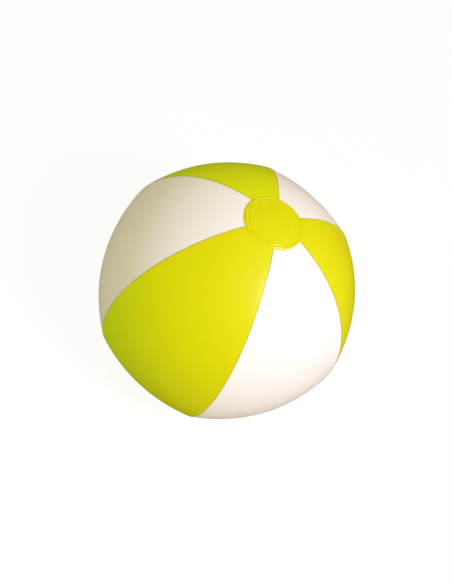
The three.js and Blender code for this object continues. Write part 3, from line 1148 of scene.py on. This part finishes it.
def add_floor(studio):
    """Pale floor under the ball, which curves up into a wall all round and lets light through."""
    deselect_all()
    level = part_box("end_patch_bottom")[0].z
    radius = studio.floor_size / 2
    bpy.ops.mesh.primitive_circle_add(vertices=COVE_SIDES, radius=radius, fill_type="NGON")
    floor = new_piece("studio_floor")
    edit_chosen(floor, "EDGE", floor.data.edges, bool)
    for number in range(COVE_STEPS):
        rise = studio.cove_height * ((number + 1) ** 2 - number**2) / COVE_STEPS**2
        bpy.ops.mesh.extrude_edges_move()
        bpy.ops.transform.translate(value=(0, 0, rise))
        widen = 1 + (1 - number / COVE_STEPS) / COVE_STEPS
        bpy.ops.transform.resize(value=(widen, widen, 1), center_override=(0, 0, 0))
    leave_edit()
    floor.data.transform(Matrix.Translation((0, 0, level)))
    smooth(floor)
    floor.data.materials.append(lit_table_look("studio_floor", studio.floor_colour, studio.floor_glow))
    floor.visible_diffuse = False
    floor.visible_glossy = False
    floor.visible_shadow = False


def add_sky(colour_of_sky):
    """Even light from all round, which the film does not mirror."""
    world = bpy.data.worlds.new("studio")
    bpy.context.scene.world = world
    world.use_nodes = True
    sky = world.node_tree.nodes["Background"]
    sky.inputs["Color"].default_value = shaded(colour_of_sky, 1)
    world.cycles_visibility.glossy = False


def add_light(studio, name, direction, size, watts):
    """Square light that faces the ball."""
    place = direction * studio.light_distance
    turn = place.to_track_quat("Z", "Y").to_euler()
    deselect_all()
    bpy.ops.object.light_add(type="AREA", location=place, rotation=turn)
    light = bpy.context.active_object
    light.name = name
    light.data.size = size
    light.data.energy = watts
    return light


def keep_to(light, name, pieces):
    """Lets a light reach only some pieces."""
    group = bpy.data.collections.new(name)
    for piece in pieces:
        group.objects.link(piece)
    light.light_linking.receiver_collection = group


def yellow_pieces():
    """Pieces of yellow film."""
    meshes = [piece for piece in bpy.data.objects if piece.type == "MESH"]
    return [piece for piece in meshes if YELLOW_FILM in piece.data.materials]


def add_lights(studio):
    """Key and fill lights, one that the film mirrors, and two that tint the yellow film's shade."""
    towards_key = seen_from(studio.key_azimuth, studio.key_elevation)
    key = add_light(studio, "key_light", towards_key, studio.key_size, studio.key_power)
    key.data.color = studio.key_colour
    behind = -seen_from(studio.camera_azimuth, studio.camera_elevation)
    fill = add_light(studio, "fill_light", behind, studio.fill_size, studio.fill_power)
    towards_shine = seen_from(studio.shine_azimuth, studio.shine_elevation)
    shine = add_light(studio, "shine_light", towards_shine, studio.shine_size, studio.shine_power)
    shine.visible_diffuse = False
    towards_lime = seen_from(studio.lime_azimuth, studio.lime_elevation)
    lime = add_light(studio, "lime_light", towards_lime, studio.lime_size, studio.lime_power)
    lime.data.color = studio.lime_colour
    keep_to(lime, "yellow_pieces", yellow_pieces())
    towards_back = seen_from(studio.back_lime_azimuth, studio.back_lime_elevation)
    back_lime = add_light(studio, "back_lime_light", towards_back, studio.lime_size, studio.back_lime_power)
    back_lime.data.color = studio.lime_colour
    keep_to(back_lime, "back_piece", [bpy.data.objects[film_name(VALVE_PANEL)]])
    for light in (key, fill, lime, back_lime):
        light.visible_glossy = False


def add_camera(studio):
    """Camera at the photograph's viewing angle."""
    towards = seen_from(studio.camera_azimuth, studio.camera_elevation)
    turn = towards.to_track_quat("Z", "Y") @ Quaternion((0, 0, 1), studio.camera_roll)
    aside = turn @ Vector((-studio.camera_left, -studio.camera_down, 0))
    place = towards * studio.camera_distance + aside
    deselect_all()
    bpy.ops.object.camera_add(location=place, rotation=turn.to_euler())
    camera = bpy.context.active_object
    camera.data.sensor_width = SENSOR_WIDTH
    camera.data.lens = SENSOR_WIDTH * studio.camera_distance / studio.view_height
    bpy.context.scene.camera = camera


# Operators


class BEACHBALL_OT_white_panels(bpy.types.Operator):
    """Models a white panel and copies it round the ball"""

    bl_idname = "beach_ball.white_panels"
    bl_label = "White panels"
    bl_options = {"REGISTER", "UNDO"}

    def execute(self, context):
        settings = context.scene.beach_ball
        finish = settings.finish
        names = PANEL_NAMES[1::2]
        lap = settings.film.lap
        azimuth = FIRST_PANEL_AZIMUTH + PANEL_ANGLE
        first, area = model_panel(settings, film_name(names[0]), azimuth, lap, WHITE_LAYER, bare_relief)
        look = film_look("white_film", finish.white, finish)
        place_panels(settings, first, names, look, lap)
        return {"FINISHED"}


class BEACHBALL_OT_yellow_panels(bpy.types.Operator):
    """Models a yellow panel, copies it round the ball and cuts the valve's hole"""

    bl_idname = "beach_ball.yellow_panels"
    bl_label = "Yellow panels"
    bl_options = {"REGISTER", "UNDO"}

    def execute(self, context):
        settings = context.scene.beach_ball
        names = PANEL_NAMES[0::2]
        first, area = model_panel(
            settings, film_name(names[0]), FIRST_PANEL_AZIMUTH, 0, YELLOW_LAYER, welded_relief
        )
        look = yellow_material(settings.finish)
        place_panels(settings, first, names, look, 0)
        return {"FINISHED"}


class BEACHBALL_OT_end_patches(bpy.types.Operator):
    """Models the discs over the panels' tips"""

    bl_idname = "beach_ball.end_patches"
    bl_label = "End patches"
    bl_options = {"REGISTER", "UNDO"}

    def execute(self, context):
        settings = context.scene.beach_ball
        patch = settings.patch
        turn = patch.shift_azimuth
        shift = Vector((math.cos(turn), math.sin(turn))) * patch.shift
        look = yellow_material(settings.finish)
        model_end_patch(settings, "end_patch_top", look, shift, True)
        model_end_patch(settings, "end_patch_bottom", look, Vector((0, 0)), False)
        return {"FINISHED"}


class BEACHBALL_OT_valve_flange(bpy.types.Operator):
    """Models the ring under the panel"""

    bl_idname = "beach_ball.valve_flange"
    bl_label = "Valve flange"
    bl_options = {"REGISTER", "UNDO"}

    def execute(self, context):
        model_flange(context.scene.beach_ball)
        return {"FINISHED"}


class BEACHBALL_OT_valve_sleeve(bpy.types.Operator):
    """Models the soft cone that holds the stem"""

    bl_idname = "beach_ball.valve_sleeve"
    bl_label = "Valve sleeve"
    bl_options = {"REGISTER", "UNDO"}

    def execute(self, context):
        model_sleeve(context.scene.beach_ball)
        return {"FINISHED"}


class BEACHBALL_OT_valve_stem(bpy.types.Operator):
    """Models the stem"""

    bl_idname = "beach_ball.valve_stem"
    bl_label = "Valve stem"
    bl_options = {"REGISTER", "UNDO"}

    def execute(self, context):
        model_stem(context.scene.beach_ball)
        return {"FINISHED"}


class BEACHBALL_OT_valve_plug(bpy.types.Operator):
    """Models the plug"""

    bl_idname = "beach_ball.valve_plug"
    bl_label = "Valve plug"
    bl_options = {"REGISTER", "UNDO"}

    def execute(self, context):
        model_plug(context.scene.beach_ball)
        return {"FINISHED"}


class BEACHBALL_OT_valve_strap(bpy.types.Operator):
    """Models the strap that holds the plug"""

    bl_idname = "beach_ball.valve_strap"
    bl_label = "Valve strap"
    bl_options = {"REGISTER", "UNDO"}

    def execute(self, context):
        model_strap(context.scene.beach_ball)
        return {"FINISHED"}


class BEACHBALL_OT_valve_flap(bpy.types.Operator):
    """Models the check flap"""

    bl_idname = "beach_ball.valve_flap"
    bl_label = "Valve flap"
    bl_options = {"REGISTER", "UNDO"}

    def execute(self, context):
        model_flap(context.scene.beach_ball)
        return {"FINISHED"}


class BEACHBALL_OT_stage(bpy.types.Operator):
    """Sets up the floor, the lights and the camera"""

    bl_idname = "beach_ball.stage"
    bl_label = "Stage"
    bl_options = {"REGISTER", "UNDO"}

    def execute(self, context):
        studio = context.scene.beach_ball.studio
        add_floor(studio)
        add_sky(studio.sky)
        add_lights(studio)
        add_camera(studio)
        context.scene.view_settings.view_transform = "Standard"
        return {"FINISHED"}


OPERATORS = (
    BEACHBALL_OT_white_panels,
    BEACHBALL_OT_yellow_panels,
    BEACHBALL_OT_end_patches,
    BEACHBALL_OT_valve_flange,
    BEACHBALL_OT_valve_sleeve,
    BEACHBALL_OT_valve_stem,
    BEACHBALL_OT_valve_plug,
    BEACHBALL_OT_valve_strap,
    BEACHBALL_OT_valve_flap,
    BEACHBALL_OT_stage,
)


class BEACHBALL_PT_sidebar(bpy.types.Panel):
    """Lists a button for each piece and for the stage"""

    bl_idname = "BEACHBALL_PT_sidebar"
    bl_label = "Beach ball"
    bl_space_type = "VIEW_3D"
    bl_region_type = "UI"
    bl_category = "Beach ball"

    def draw(self, context):
        for operator in OPERATORS:
            self.layout.operator(operator.bl_idname)


CLASSES = (
    BallSizes,
    FilmSizes,
    PatchSizes,
    ValveSizes,
    Finishes,
    Studio,
    BeachBall,
    *OPERATORS,
    BEACHBALL_PT_sidebar,
)


def register():
    """Makes the settings, operators and panel known."""
    for made in CLASSES:
        bpy.utils.register_class(made)
    bpy.types.Scene.beach_ball = PointerProperty(
        name="Beach ball", description="Settings of the beach ball", type=BeachBall
    )


def unregister():
    """Takes them away again."""
    del bpy.types.Scene.beach_ball
    for made in reversed(CLASSES):
        bpy.utils.unregister_class(made)


def main():
    """Builds the ball and its stage."""
    register()
    for operator in OPERATORS:
        group, name = operator.bl_idname.split(".")
        getattr(getattr(bpy.ops, group), name)()


if __name__ == "__main__":
    main()
